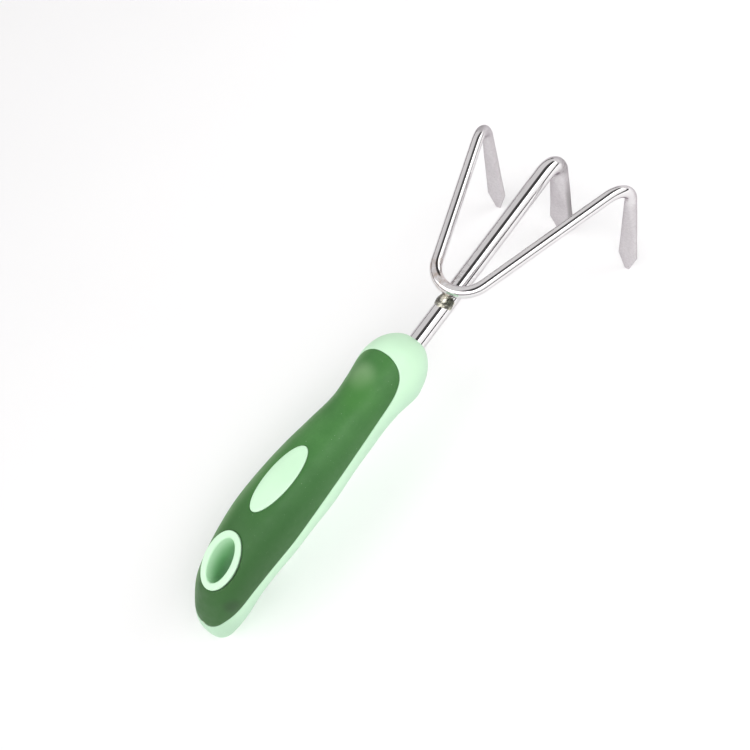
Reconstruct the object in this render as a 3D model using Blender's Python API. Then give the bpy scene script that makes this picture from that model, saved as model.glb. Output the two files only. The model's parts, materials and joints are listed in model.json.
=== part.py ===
"""Three-prong hand cultivator: a steel head on a two-colour moulded handle.

Lengths are in millimetres in the driving dimensions and in metres in Blender.
The tool is drawn along its own axis: +X runs along the shank towards the prongs,
+Y is to the left and +Z is the thumb side. The tool_axis empty then lays it down
on z = 0, resting on its three prong tips and on the underside of its tail.
"""

import math

import bmesh
import bpy
from mathutils import Matrix, Vector

MM = 0.001
TOOL_NAME = "hand_cultivator"

# Clearance between touching pieces.
GAP = 0.3

# Shank and middle prong: one steel tube.
SHANK_RADIUS = 4.0
SHANK_WALL = 1.0
TANG_LENGTH = 62.0
TANG_FLAT_LENGTH = 16.0
TANG_FLAT_HALF_WIDTH = 5.0
TANG_FLAT_HALF_THICKNESS = 2.7
TANG_EASE_LENGTH = 8.0
SHANK_BORE_END = 84.0
BORE_STATION = 56.0
MIDDLE_BEND_START = 91.5
MIDDLE_BEND_RADIUS = 10.5
MIDDLE_BLADE_HALF_WIDTH = 6.5
MIDDLE_BLADE_HALF_THICKNESS = 1.25

# Side prongs: one solid rod bent into a U and laid over the shank.
ROD_RADIUS = 2.6
ROD_CENTRE_HEIGHT = SHANK_RADIUS + ROD_RADIUS + GAP
U_BACK = 22.3
U_RADIUS = 13.0
LEG_SPLAY = math.radians(19.5)
LEG_LENGTH = 62.2
SIDE_BEND_RADIUS = 12.0
SIDE_BLADE_HALF_WIDTH = 4.7
SIDE_BLADE_HALF_THICKNESS = 1.1

# All three blades are flattened ends with a blunt point, leaning back a little.
BLADE_LEAN = math.radians(5.0)
BLADE_POINT_LENGTH = 10.5
BLADE_TIP_HALF_WIDTH = 1.3
BLADE_TIP_LEVEL = -57.5
BLADE_FLATTENING = 1.35
BLADE_TIP_THINNING = 0.45

# Weld bead behind the U, in the corner between rod and shank.
BEAD_CENTRE = (18.0, 2.8)
BEAD_HALF_LENGTH = 4.8
BEAD_HALF_WIDTH = 4.5
BEAD_HALF_HEIGHT = 3.5

# Handle outline from the bulb's face to the tail: x, half width, top z, bottom z.
BULB_STATIONS = [
    (-3.6, 5.4, 7.4, -4.8),
    (-5.4, 7.7, 10.8, -7.2),
    (-8.4, 10.3, 14.1, -9.8),
    (-12.4, 12.3, 16.9, -12.0),
    (-17.0, 13.5, 18.4, -13.4),
]
HANDLE_STATIONS = [
    (-22.0, 13.9, 18.7, -13.9),
    (-32.0, 12.6, 17.9, -12.3),
    (-43.0, 11.9, 17.8, -11.3),
    (-56.0, 12.8, 20.8, -10.7),
    (-70.0, 14.0, 23.9, -10.4),
    (-84.0, 14.6, 25.9, -9.7),
    (-98.0, 14.7, 26.5, -9.0),
    (-110.0, 13.8, 25.3, -8.4),
    (-121.0, 12.9, 22.2, -9.8),
    (-131.0, 12.0, 17.0, -12.0),
]
TAIL_STATIONS = [
    (-139.2, 9.8, 8.8, -14.2),
    (-144.0, 7.4, 2.4, -15.2),
    (-146.4, 4.8, -2.8, -13.4),
    (-147.1, 2.2, -5.8, -10.2),
]
HANDLE_LEAST_HALF_SIZE = 0.4

# Finger grooves along the underside, fading out under the bulb and the tail.
GROOVE_DEPTH = 1.5
GROOVE_PITCH = 29.6
GROOVE_FIRST = -33.0
GROOVE_FRONT_END = -18.0
GROOVE_FRONT_FADE = 12.0
GROOVE_TAIL_END = -142.0
GROOVE_TAIL_FADE = 14.0

# Soft grip: a shell over the thumb side, flush with the hard core round it.
GRIP_THICKNESS = 2.4

# Parting line between grip and core, seen from the side: x, z from front to tail.
PARTING = [
    (-15.0, 34.0),
    (-16.2, 22.0),
    (-19.2, 17.0),
    (-24.6, 12.6),
    (-32.0, 9.4),
    (-44.0, 7.6),
    (-58.0, 8.7),
    (-74.0, 10.2),
    (-92.0, 10.4),
    (-108.0, 9.7),
    (-124.0, 8.0),
    (-136.0, 5.2),
    (-145.0, 1.6),
    (-160.0, -4.0),
]
PARTING_HEADROOM = 40.0

# Oval window in the grip, filled by the core.
WINDOW_CENTRE = -82.2
WINDOW_HALF_LENGTH = 15.9
WINDOW_HALF_WIDTH = 5.7

# Oval hang hole through the tail, in a collar whose flat rim slopes with the tail.
HOLE_CENTRE = -119.7
HOLE_HALF_LENGTH = 9.0
HOLE_HALF_WIDTH = 4.7
COLLAR_WALL = 2.8
COLLAR_RIM_HEIGHT = 22.6
COLLAR_RIM_SLOPE = math.radians(19.5)

# Superellipse powers: 2 is round, more is squarer.
ROUND = 2.0
HANDLE_POWER = 2.2
TANG_POWER = 2.6
BLADE_POWER = 3.6

# Mesh fineness: points round each section and steps along each curve.
HANDLE_SIDES = 36
HANDLE_STEPS = 3
TUBE_SIDES = 20
OVAL_SIDES = 32
BEND_STEPS = 7
U_STEPS = 20

# Cutters run well past what they cut.
CUTTER_REACH = 60.0

# Rounds in which the tool settles on its lowest points.
REST_ROUNDS = 4


def interpolate(stations, steps):
    """Catmull-Rom rows through the stations, with steps rows to each span."""
    rows = []
    last = len(stations) - 1
    for i in range(last):
        before = stations[max(i - 1, 0)]
        start = stations[i]
        end = stations[i + 1]
        after = stations[min(i + 2, last)]
        for k in range(steps):
            t = k / steps
            row = []
            for p0, p1, p2, p3 in zip(before, start, end, after):
                slope = 0.5 * (p2 - p0)
                next_slope = 0.5 * (p3 - p1)
                rise = 3.0 * (p2 - p1) - 2.0 * slope - next_slope
                curl = 2.0 * (p1 - p2) + slope + next_slope
                row.append(p1 + slope * t + rise * t * t + curl * t * t * t)
            rows.append(tuple(row))
    rows.append(tuple(stations[last]))
    return rows


def superellipse(half_width, half_height, power, sides):
    """Points (across, up) round a section that is a little squarer than an ellipse."""
    points = []
    for k in range(sides):
        angle = 2.0 * math.pi * k / sides
        across = math.cos(angle)
        up = math.sin(angle)
        points.append((
            half_width * math.copysign(abs(across) ** (2.0 / power), across),
            half_height * math.copysign(abs(up) ** (2.0 / power), up),
        ))
    return points


def loft(name, rings, collection):
    """Closed solid through rings of equal length, given in millimetres."""
    bm = bmesh.new()
    rows = []
    for ring in rings:
        rows.append([bm.verts.new(Vector(point) * MM) for point in ring])
    sides = len(rows[0])
    for row, after in zip(rows, rows[1:]):
        for k in range(sides):
            bm.faces.new((row[k], row[(k + 1) % sides], after[(k + 1) % sides], after[k]))
    bm.faces.new(rows[0])
    bm.faces.new(rows[-1])
    bmesh.ops.recalc_face_normals(bm, faces=bm.faces[:])
    mesh = bpy.data.meshes.new(name)
    bm.to_mesh(mesh)
    bm.free()
    part = bpy.data.objects.new(name, mesh)
    collection.objects.link(part)
    return part


def slab(name, outline, axis, half_thickness, collection):
    """Flat outline in millimetres, extruded both ways along Y or Z, as a mesh."""
    curve = bpy.data.curves.new(name, "CURVE")
    curve.dimensions = "2D"
    curve.fill_mode = "BOTH"
    curve.extrude = half_thickness * MM
    spline = curve.splines.new("POLY")
    spline.points.add(len(outline) - 1)
    for point, (u, v) in zip(spline.points, outline):
        point.co = (u * MM, v * MM, 0.0, 1.0)
    spline.use_cyclic_u = True
    drawn = bpy.data.objects.new(name + "_outline", curve)
    if axis == "Y":
        drawn.rotation_euler.x = math.pi / 2.0
    collection.objects.link(drawn)
    bpy.context.view_layer.update()
    graph = bpy.context.evaluated_depsgraph_get()
    mesh = bpy.data.meshes.new_from_object(drawn.evaluated_get(graph))
    mesh.transform(drawn.matrix_world)
    bm = bmesh.new()
    bm.from_mesh(mesh)
    bmesh.ops.remove_doubles(bm, verts=bm.verts[:], dist=0.00001)
    bmesh.ops.recalc_face_normals(bm, faces=bm.faces[:])
    bm.to_mesh(mesh)
    bm.free()
    bpy.data.objects.remove(drawn)
    part = bpy.data.objects.new(name, mesh)
    collection.objects.link(part)
    return part


def combine(part, operation, *tools):
    """Adds one Boolean modifier to part for each tool, and hides the tools."""
    for tool in tools:
        step = part.modifiers.new(tool.name, "BOOLEAN")
        step.operation = operation
        step.solver = "EXACT"
        step.object = tool
        tool.hide_render = True
        tool.display_type = "WIRE"


# ---------------------------------------------------------------- handle form

def handle_rows():
    """Rows of x, half width, top z, bottom z from the bulb's face to the tail."""
    return interpolate(BULB_STATIONS + HANDLE_STATIONS + TAIL_STATIONS, HANDLE_STEPS)


def groove(x):
    """Finger groove depth at x."""
    wave = 0.5 + 0.5 * math.cos(2.0 * math.pi * (x - GROOVE_FIRST) / GROOVE_PITCH)
    front = min(max((GROOVE_FRONT_END - x) / GROOVE_FRONT_FADE, 0.0), 1.0)
    tail = min(max((x - GROOVE_TAIL_END) / GROOVE_TAIL_FADE, 0.0), 1.0)
    return GROOVE_DEPTH * wave * front * tail


def handle_rings(inset):
    """Rings of the handle's outer form, drawn in by inset all round."""
    front = BULB_STATIONS[0][0] - inset
    end = TAIL_STATIONS[-1][0] + inset
    rings = []
    for x, half_width, top, bottom in handle_rows():
        middle = 0.5 * (top + bottom)
        wide = max(half_width - inset, HANDLE_LEAST_HALF_SIZE)
        tall = max(0.5 * (top - bottom) - inset, HANDLE_LEAST_HALF_SIZE)
        place = min(max(x, end), front)
        ring = []
        for across, up in superellipse(wide, tall, HANDLE_POWER, HANDLE_SIDES):
            lift = groove(x) * max(-up / tall, 0.0)
            ring.append((place, across, middle + up + lift))
        rings.append(ring)
    return rings


def oval_outline(centre, half_length, half_width, sides):
    """Oval in plan, long side along X, as a list of (x, y)."""
    points = []
    for k in range(sides):
        angle = 2.0 * math.pi * k / sides
        points.append((centre + half_length * math.cos(angle), half_width * math.sin(angle)))
    return points


def parting_outline(drop):
    """Side outline, as (x, z), of all that lies on the grip's side of the parting."""
    line = interpolate(PARTING, HANDLE_STEPS)
    moved = []
    for i, (x, z) in enumerate(line):
        before = line[max(i - 1, 0)]
        after = line[min(i + 1, len(line) - 1)]
        along = Vector((after[0] - before[0], after[1] - before[1])).normalized()
        moved.append((x - along.y * drop, z + along.x * drop))
    front = PARTING[0][0] + drop
    return moved + [(PARTING[-1][0], PARTING_HEADROOM), (front, PARTING_HEADROOM)]


# ---------------------------------------------------------------- steel head

ALONG = Vector((1.0, 0.0, 0.0))
LEFT = Vector((0.0, 1.0, 0.0))
UP = Vector((0.0, 0.0, 1.0))
BLADE_DOWN = Vector((-math.sin(BLADE_LEAN), 0.0, -math.cos(BLADE_LEAN)))


def bend_points(start, heading, side, radius, angle, steps):
    """Points and headings round a bend that turns from heading towards side."""
    rows = []
    for k in range(1, steps + 1):
        turn = angle * k / steps
        point = start + heading * radius * math.sin(turn) + side * radius * (1.0 - math.cos(turn))
        rows.append((point, heading * math.cos(turn) + side * math.sin(turn)))
    return rows


def blade_rows(start, down, radius, half_width, half_thickness):
    """Rows down a flattened blade, whose width lies along Y."""
    across = Vector((0.0, 1.0, 0.0))
    reach = (start.z - BLADE_TIP_LEVEL) / -down.z
    neck = reach - BLADE_POINT_LENGTH
    rows = []
    for t in (0.12, 0.3, 0.5, 0.7, 0.9, 1.0):
        flat = min(t * t * (3.0 - 2.0 * t) * BLADE_FLATTENING, 1.0)
        width = radius + (half_width - radius) * t
        thick = radius + (half_thickness - radius) * flat
        power = ROUND + (BLADE_POWER - ROUND) * flat
        rows.append((start + down * neck * t, down, across, width, thick, power))
    for t in (0.5, 0.85, 1.0):
        width = half_width + (BLADE_TIP_HALF_WIDTH - half_width) * t
        thick = half_thickness * (1.0 - BLADE_TIP_THINNING * t)
        step = neck + BLADE_POINT_LENGTH * t
        rows.append((start + down * step, down, across, width, thick, BLADE_POWER))
    return rows


def section_rings(rows):
    """Rings of superellipses about rows of point, heading, across, half sizes and power."""
    rings = []
    for point, heading, across, half_width, half_thickness, power in rows:
        wide = (across - heading * across.dot(heading)).normalized()
        thin = heading.cross(wide)
        ring = []
        for u, v in superellipse(half_width, half_thickness, power, TUBE_SIDES):
            ring.append(point + wide * u + thin * v)
        rings.append(ring)
    return rings


def tang_rows(growth):
    """Rows along the tang from its flattened end to the handle's front."""
    rows = []
    flat_end = -TANG_LENGTH + TANG_FLAT_LENGTH
    ease_start = flat_end - TANG_EASE_LENGTH
    ease_middle = flat_end - 0.5 * TANG_EASE_LENGTH
    steps = ((-TANG_LENGTH, 1.0), (ease_start, 1.0), (ease_middle, 0.6), (flat_end, 0.0))
    for x, flat in steps:
        width = SHANK_RADIUS + (TANG_FLAT_HALF_WIDTH - SHANK_RADIUS) * flat + growth
        thick = SHANK_RADIUS + (TANG_FLAT_HALF_THICKNESS - SHANK_RADIUS) * flat + growth
        power = ROUND + (TANG_POWER - ROUND) * flat
        rows.append((Vector((x, 0.0, 0.0)), ALONG, LEFT, width, thick, power))
    return rows


def straight_rows(places, radius):
    """Round rows on the tool's axis at the given places."""
    return [(Vector((x, 0.0, 0.0)), ALONG, LEFT, radius, radius, ROUND) for x in places]


def make_shank(collection):
    """Steel tube: flattened tang, straight shank, bend and flattened middle blade."""
    start = Vector((MIDDLE_BEND_START, 0.0, 0.0))
    turn = math.acos(ALONG.dot(BLADE_DOWN))
    bend = bend_points(start, ALONG, -UP, MIDDLE_BEND_RADIUS, turn, BEND_STEPS)
    rows = tang_rows(0.0)
    places = (0.0, U_BACK, BORE_STATION, SHANK_BORE_END, MIDDLE_BEND_START)
    rows += straight_rows(places, SHANK_RADIUS)
    for point, heading in bend:
        rows.append((point, heading, LEFT, SHANK_RADIUS, SHANK_RADIUS, ROUND))
    rows += blade_rows(
        bend[-1][0], BLADE_DOWN, SHANK_RADIUS, MIDDLE_BLADE_HALF_WIDTH, MIDDLE_BLADE_HALF_THICKNESS
    )
    return loft("shank_tine", section_rings(rows), collection)


def make_shank_bore(collection):
    """Cutter for the tube's hollow, open at the tang's end."""
    rows = tang_rows(-SHANK_WALL)
    mouth = rows[0]
    rows.insert(0, (mouth[0] - ALONG * SHANK_WALL,) + mouth[1:])
    places = (0.0, U_BACK, BORE_STATION, SHANK_BORE_END)
    rows += straight_rows(places, SHANK_RADIUS - SHANK_WALL)
    return loft("shank_bore", section_rings(rows), collection)


def make_tang_socket(collection):
    """Cutter for the blind socket that holds the tang in the handle core."""
    rows = tang_rows(GAP)
    rows[0] = (rows[0][0] - ALONG * GAP,) + rows[0][1:]
    rows += straight_rows((SHANK_RADIUS,), SHANK_RADIUS + GAP)
    return loft("tang_socket", section_rings(rows), collection)


def rod_half_rows(growth):
    """Rows of the left half of the side prongs, from the U's back to the blade tip."""
    radius = ROD_RADIUS + growth
    centre = Vector((U_BACK + U_RADIUS, 0.0, ROD_CENTRE_HEIGHT))
    rows = []
    sweep = math.pi / 2.0 - LEG_SPLAY
    half_steps = U_STEPS // 2
    for k in range(half_steps + 1):
        angle = sweep * k / half_steps
        out = Vector((-math.cos(angle), math.sin(angle), 0.0))
        heading = Vector((math.sin(angle), math.cos(angle), 0.0))
        rows.append((centre + out * U_RADIUS, heading, UP.cross(heading), radius, radius, ROUND))
    leg = Vector((math.cos(LEG_SPLAY), math.sin(LEG_SPLAY), 0.0))
    start = rows[-1][0] + leg * LEG_LENGTH
    rows.append((start, leg, UP.cross(leg), radius, radius, ROUND))
    turn = math.acos(leg.dot(BLADE_DOWN))
    side = (BLADE_DOWN - leg * leg.dot(BLADE_DOWN)).normalized()
    bend = bend_points(start, leg, side, SIDE_BEND_RADIUS, turn, BEND_STEPS)
    for k, (point, heading) in enumerate(bend):
        share = (k + 1) / BEND_STEPS
        across = UP.cross(leg).lerp(LEFT, share)
        rows.append((point, heading, across, radius, radius, ROUND))
    return rows + blade_rows(
        bend[-1][0], BLADE_DOWN, radius, SIDE_BLADE_HALF_WIDTH, SIDE_BLADE_HALF_THICKNESS
    )


def make_side_tines(collection):
    """Both side prongs: one rod, mirrored about the tool's middle plane."""
    left = section_rings(rod_half_rows(0.0))
    right = [[Vector((p.x, -p.y, p.z)) for p in ring] for ring in left]
    return loft("side_tine_rod", right[:0:-1] + left, collection)


def make_weld_bead(parts, cutters):
    """Bead in the corner behind the U, clear of the rod and the shank."""
    bpy.ops.mesh.primitive_uv_sphere_add(segments=24, ring_count=14, radius=MM)
    bead = bpy.context.object
    bead.name = "weld_bead"
    bead.data.name = "weld_bead"
    size = (BEAD_HALF_LENGTH, BEAD_HALF_WIDTH, BEAD_HALF_HEIGHT)
    place = Vector((BEAD_CENTRE[0], 0.0, BEAD_CENTRE[1])) * MM
    bead.data.transform(Matrix.Translation(place) @ Matrix.Diagonal(size).to_4x4())
    for owner in bead.users_collection:
        owner.objects.unlink(bead)
    parts.objects.link(bead)
    rod = section_rings(rod_half_rows(GAP)[:U_STEPS // 2])
    mirrored = [[Vector((p.x, -p.y, p.z)) for p in ring] for ring in rod]
    rod_cutter = loft("bead_rod_clearance", mirrored[:0:-1] + rod, cutters)
    shank_rows = straight_rows((0.0, 2.0 * U_BACK), SHANK_RADIUS + GAP)
    shank_cutter = loft("bead_shank_clearance", section_rings(shank_rows), cutters)
    combine(bead, "DIFFERENCE", rod_cutter, shank_cutter)
    return bead


# ---------------------------------------------------------------- handle parts

def oval_prism(name, centre, half_length, half_width, low, high, collection):
    """Upright oval prism on the tool's middle plane."""
    outline = oval_outline(centre, half_length, half_width, OVAL_SIDES)
    prism = slab(name, outline, "Z", 0.5 * (high - low), collection)
    prism.data.transform(Matrix.Translation(Vector((0.0, 0.0, 0.5 * (high + low))) * MM))
    return prism


def window_prism(name, growth, collection):
    """Prism of the window boss, growth beyond its edge."""
    return oval_prism(
        name, WINDOW_CENTRE, WINDOW_HALF_LENGTH + growth, WINDOW_HALF_WIDTH + growth,
        0.0, CUTTER_REACH, collection,
    )


def collar_prism(name, growth, low, high, collection):
    """Prism about the hang hole, growth beyond the hole's own wall."""
    return oval_prism(
        name, HOLE_CENTRE, HOLE_HALF_LENGTH + growth, HOLE_HALF_WIDTH + growth,
        low, high, collection,
    )


def rim_trim(name, collection):
    """Cutter for all that lies above the collar's sloping rim."""
    reach = CUTTER_REACH
    outline = [(-reach, 0.0), (reach, 0.0), (reach, reach), (-reach, reach)]
    trim = slab(name, outline, "Y", reach, collection)
    turn = Matrix.Rotation(-COLLAR_RIM_SLOPE, 4, "Y")
    place = Vector((HOLE_CENTRE, 0.0, COLLAR_RIM_HEIGHT)) * MM
    trim.data.transform(Matrix.Translation(place) @ turn)
    return trim


def make_handle_core(parts, cutters):
    """Hard core: bulb, grooved underside, window boss and hang-hole collar."""
    core = loft("handle_core", handle_rings(0.0), parts)
    above = slab("core_parting", parting_outline(GAP), "Y", CUTTER_REACH, cutters)
    spine = loft("core_spine", handle_rings(GRIP_THICKNESS + GAP), cutters)
    window = window_prism("core_window", 0.0, cutters)
    combine(above, "DIFFERENCE", spine, window)
    combine(core, "DIFFERENCE", above)
    collar = collar_prism("core_collar", COLLAR_WALL, 0.0, PARTING_HEADROOM, cutters)
    combine(collar, "DIFFERENCE", rim_trim("core_rim_trim", cutters))
    combine(core, "UNION", collar)
    hole = collar_prism("core_hang_hole", 0.0, -CUTTER_REACH, CUTTER_REACH, cutters)
    combine(core, "DIFFERENCE", hole, make_tang_socket(cutters))
    return core


def make_soft_grip(parts, cutters):
    """Soft shell over the thumb side, with the window and collar openings."""
    grip = loft("soft_grip", handle_rings(0.0), parts)
    above = slab("grip_parting", parting_outline(0.0), "Y", CUTTER_REACH, cutters)
    combine(grip, "INTERSECT", above)
    inside = loft("grip_inside", handle_rings(GRIP_THICKNESS), cutters)
    window = window_prism("grip_window", GAP, cutters)
    collar = collar_prism("grip_collar", COLLAR_WALL + GAP, 0.0, CUTTER_REACH, cutters)
    combine(grip, "DIFFERENCE", inside, window, collar)
    return grip


# ---------------------------------------------------------------- finish and assembly

def finish(part, colour, roughness, metallic, crease):
    """Material and smooth shading for one part; crease is the sharp-edge angle."""
    material = bpy.data.materials.new(part.name)
    material.use_nodes = True
    shader = material.node_tree.nodes["Principled BSDF"]
    shader.inputs["Base Color"].default_value = colour + (1.0,)
    shader.inputs["Roughness"].default_value = roughness
    shader.inputs["Metallic"].default_value = metallic
    part.data.materials.clear()
    part.data.materials.append(material)
    part.data.shade_smooth()
    part.data.set_sharp_from_angle(angle=math.radians(crease))


def rest_pose(steel_points, handle_points):
    """Turn and lift that put the blade tips and the tail's underside on z = 0."""
    turn = Matrix.Identity(4)
    for _ in range(REST_ROUNDS):
        foot = min(steel_points, key=lambda p: (turn @ p).z)
        pitch = min(math.atan2(p.z - foot.z, foot.x - p.x) for p in handle_points)
        turn = Matrix.Rotation(-pitch, 4, "Y")
    return turn, -(turn @ foot).z


def main():
    for item in list(bpy.data.objects):
        bpy.data.objects.remove(item)
    parts = bpy.data.collections.new(TOOL_NAME)
    cutters = bpy.data.collections.new("cutters")
    bpy.context.scene.collection.children.link(parts)
    bpy.context.scene.collection.children.link(cutters)

    shank = make_shank(parts)
    combine(shank, "DIFFERENCE", make_shank_bore(cutters))
    rod = make_side_tines(parts)
    bead = make_weld_bead(parts, cutters)
    core = make_handle_core(parts, cutters)
    grip = make_soft_grip(parts, cutters)

    finish(shank, (0.62, 0.61, 0.60), 0.18, 1.0, 35.0)
    finish(rod, (0.62, 0.61, 0.60), 0.18, 1.0, 35.0)
    finish(bead, (0.34, 0.33, 0.29), 0.45, 1.0, 50.0)
    finish(core, (0.60, 0.89, 0.63), 0.50, 0.0, 35.0)
    finish(grip, (0.08, 0.24, 0.07), 0.60, 0.0, 35.0)

    tool_axis = bpy.data.objects.new("tool_axis", None)
    parts.objects.link(tool_axis)
    steel_points = [v.co for v in shank.data.vertices] + [v.co for v in rod.data.vertices]
    handle_points = [v.co for v in core.data.vertices]
    turn, lift = rest_pose(steel_points, handle_points)
    placed = [turn @ p for p in steel_points + handle_points]
    middle = 0.5 * (min(p.x for p in placed) + max(p.x for p in placed))
    tool_axis.matrix_world = Matrix.Translation((-middle, 0.0, lift)) @ turn
    for part in list(parts.objects) + list(cutters.objects):
        if part is not tool_axis:
            part.parent = tool_axis


main()
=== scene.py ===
"""Looks of the hand cultivator: fine meshes, procedural materials, light and camera.

Lengths are in millimetres in the driving dimensions. The tool is drawn along its own
axis, as in the CAD part: +X runs along the shank towards the prongs, +Y is to the left
and +Z is the thumb side. The frame's collar rim says how that axis lies in the room.
"""

import json
import math

import bmesh
import bpy
import numpy as np
from mathutils import Matrix, Vector, kdtree, noise
from mathutils.geometry import delaunay_2d_cdt


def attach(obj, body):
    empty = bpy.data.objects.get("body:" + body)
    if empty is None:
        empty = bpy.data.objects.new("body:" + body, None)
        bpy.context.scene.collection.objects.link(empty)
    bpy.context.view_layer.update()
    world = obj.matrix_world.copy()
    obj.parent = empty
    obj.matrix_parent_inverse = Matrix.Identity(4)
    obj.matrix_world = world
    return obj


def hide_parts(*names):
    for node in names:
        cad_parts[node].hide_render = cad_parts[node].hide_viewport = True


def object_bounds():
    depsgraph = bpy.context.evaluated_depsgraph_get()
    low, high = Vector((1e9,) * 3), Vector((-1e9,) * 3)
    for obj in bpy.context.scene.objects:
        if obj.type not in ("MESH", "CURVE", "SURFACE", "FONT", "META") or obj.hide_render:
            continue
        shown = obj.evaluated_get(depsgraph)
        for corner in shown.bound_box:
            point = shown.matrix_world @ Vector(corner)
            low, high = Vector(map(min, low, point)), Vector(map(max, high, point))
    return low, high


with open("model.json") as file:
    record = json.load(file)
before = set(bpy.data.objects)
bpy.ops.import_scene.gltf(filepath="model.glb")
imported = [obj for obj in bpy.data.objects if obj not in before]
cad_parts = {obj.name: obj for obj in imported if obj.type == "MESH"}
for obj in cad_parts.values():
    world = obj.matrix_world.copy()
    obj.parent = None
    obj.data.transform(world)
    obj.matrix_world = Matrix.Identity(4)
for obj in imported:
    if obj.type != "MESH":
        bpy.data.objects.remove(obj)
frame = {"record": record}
cad_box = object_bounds()

MM = 0.001

# Directions on the tool.
ALONG = Vector((1.0, 0.0, 0.0))
LEFT = Vector((0.0, 1.0, 0.0))
UP = Vector((0.0, 0.0, 1.0))

# ---------------------------------------------------------------- driving dimensions

# Shank and middle prong.
SHANK_RADIUS = 4.0
TANG_LENGTH = 62.0
TANG_FLAT_LENGTH = 16.0
TANG_EASE_LENGTH = 8.0
TANG_FLAT_HALF_WIDTH = 5.0
TANG_FLAT_HALF_THICKNESS = 2.7
SOCKET_GAP = 0.12
MIDDLE_BEND_START = 91.5
MIDDLE_BEND_RADIUS = 10.5
MIDDLE_BLADE_HALF_WIDTH = 6.5
MIDDLE_BLADE_HALF_THICKNESS = 1.25

# Side prongs.
ROD_RADIUS = 2.6
ROD_CENTRE_HEIGHT = 6.9
U_BACK = 22.3
U_RADIUS = 13.0
LEG_SPLAY = math.radians(19.5)
LEFT_LEG_LENGTH = 61.4
RIGHT_LEG_LENGTH = 62.2
LEFT_BLADE_TURN = math.radians(10.0)
RIGHT_BLADE_TURN = 0.0
SIDE_BEND_RADIUS = 12.0
SIDE_BLADE_HALF_WIDTH = 4.7
SIDE_BLADE_HALF_THICKNESS = 1.1

# Blades.
BLADE_LEAN = math.radians(5.0)
BLADE_POINT_LENGTH = 10.5
BLADE_TIP_HALF_WIDTH = 1.3
BLADE_TIP_LEVEL = -57.5
BLADE_FLATTENING = 1.35
BLADE_TIP_THINNING = 0.45

# Weld bead.
BEAD_CENTRE = (18.1, 1.1)
BEAD_HALF_SIZES = (5.2, 3.95, 4.1)
BEAD_FILL = 0.99
# Lumps as a share of the bead's size: height, lumps to the radius, shift of the pattern.
BEAD_LUMPS = (
    (0.10, 2.1, Vector((3.1, 0.4, 1.7))),
    (0.035, 5.0, Vector((0.2, 5.3, 2.9))),
)
BEAD_SUBDIVISIONS = 6

# Handle outline from the bulb's face to the tail: x, half width, top z, bottom z.
BULB_STATIONS = [
    (-3.6, 5.4, 7.4, -4.8),
    (-5.4, 7.7, 10.8, -7.2),
    (-8.4, 10.3, 14.1, -9.8),
    (-12.4, 12.3, 16.9, -12.0),
    (-17.0, 13.5, 18.4, -13.4),
]
HANDLE_STATIONS = [
    (-22.0, 13.9, 18.7, -13.9),
    (-32.0, 12.6, 17.9, -12.3),
    (-43.0, 11.9, 17.8, -11.3),
    (-56.0, 12.8, 20.8, -10.7),
    (-70.0, 14.0, 23.9, -10.4),
    (-84.0, 14.6, 25.9, -9.7),
    (-98.0, 14.7, 26.5, -9.0),
    (-110.0, 13.8, 25.3, -8.4),
    (-121.0, 12.9, 22.2, -9.8),
    (-131.0, 12.0, 17.0, -12.0),
]
TAIL_STATIONS = [
    (-139.2, 9.8, 8.8, -14.2),
    (-144.0, 7.4, 2.4, -15.2),
    (-146.4, 4.8, -2.8, -13.4),
    (-147.1, 2.2, -5.8, -10.2),
]
STATIONS = BULB_STATIONS + HANDLE_STATIONS + TAIL_STATIONS
# Rings from the bulb's face in to the shank: x, z, half width, half height.
FACE_RINGS = [
    (-3.42, 0.9, 4.95, 5.45),
    (-3.36, 0.3, 4.45, 4.7),
    (-3.5, 0.0, SHANK_RADIUS + SOCKET_GAP, SHANK_RADIUS + SOCKET_GAP),
]
# Rings that close the tail: distance behind the last station, radius.
TAIL_RINGS = [(0.22, 1.5), (0.3, 0.7)]
LEAST_HALF_SIZE = 0.3

# Powers of the superellipse sections: 2 is round, and more is squarer.
HANDLE_POWER = 2.2
TANG_POWER = 2.6
BLADE_POWER = 3.6
ROUND = 2.0

# Finger grooves.
GROOVE_DEPTH = 1.5
GROOVE_PITCH = 29.6
GROOVE_FIRST = -33.0
GROOVE_FRONT_END = -18.0
GROOVE_FRONT_FADE = 12.0
GROOVE_TAIL_END = -142.0
GROOVE_TAIL_FADE = 14.0

# Soft grip, its parting line from the side (x, z), its window and the collar.
GRIP_THICKNESS = 2.4
PARTING = [
    (-15.0, 34.0),
    (-16.2, 22.0),
    (-19.2, 17.0),
    (-24.6, 12.6),
    (-32.0, 9.4),
    (-44.0, 7.6),
    (-58.0, 8.7),
    (-74.0, 10.2),
    (-92.0, 10.4),
    (-108.0, 9.7),
    (-124.0, 8.0),
    (-136.0, 5.2),
    (-145.0, 1.6),
    (-160.0, -4.0),
]
WINDOW_CENTRE = -82.2
WINDOW_HALF_LENGTH = 15.9
WINDOW_HALF_WIDTH = 5.7
HOLE_CENTRE = -119.7
HOLE_HALF_LENGTH = 9.0
HOLE_HALF_WIDTH = 4.7
COLLAR_WALL = 2.8
COLLAR_RIM_HEIGHT = 22.6
COLLAR_RIM_SLOPE = math.radians(19.5)

# Edges of the two mouldings where they meet.
SEAM_GAP = 0.10
EDGE_ROUND = 0.34
EDGE_STEPS = (0.0, 0.06, 0.15, EDGE_ROUND)
RECESS_DEPTH = 2.5
RIM_OUTER_ROUND = 0.5
RIM_INNER_ROUND = 0.9
# Rings down the hang hole, as shares of its depth, and its rounded exit: growth, inset.
HOLE_SHARES = (0.15, 0.35, 0.6, 0.85)
HOLE_EXIT = ((0.0, 0.9), (0.07, 0.55), (0.26, 0.26), (0.55, 0.07))

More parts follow.
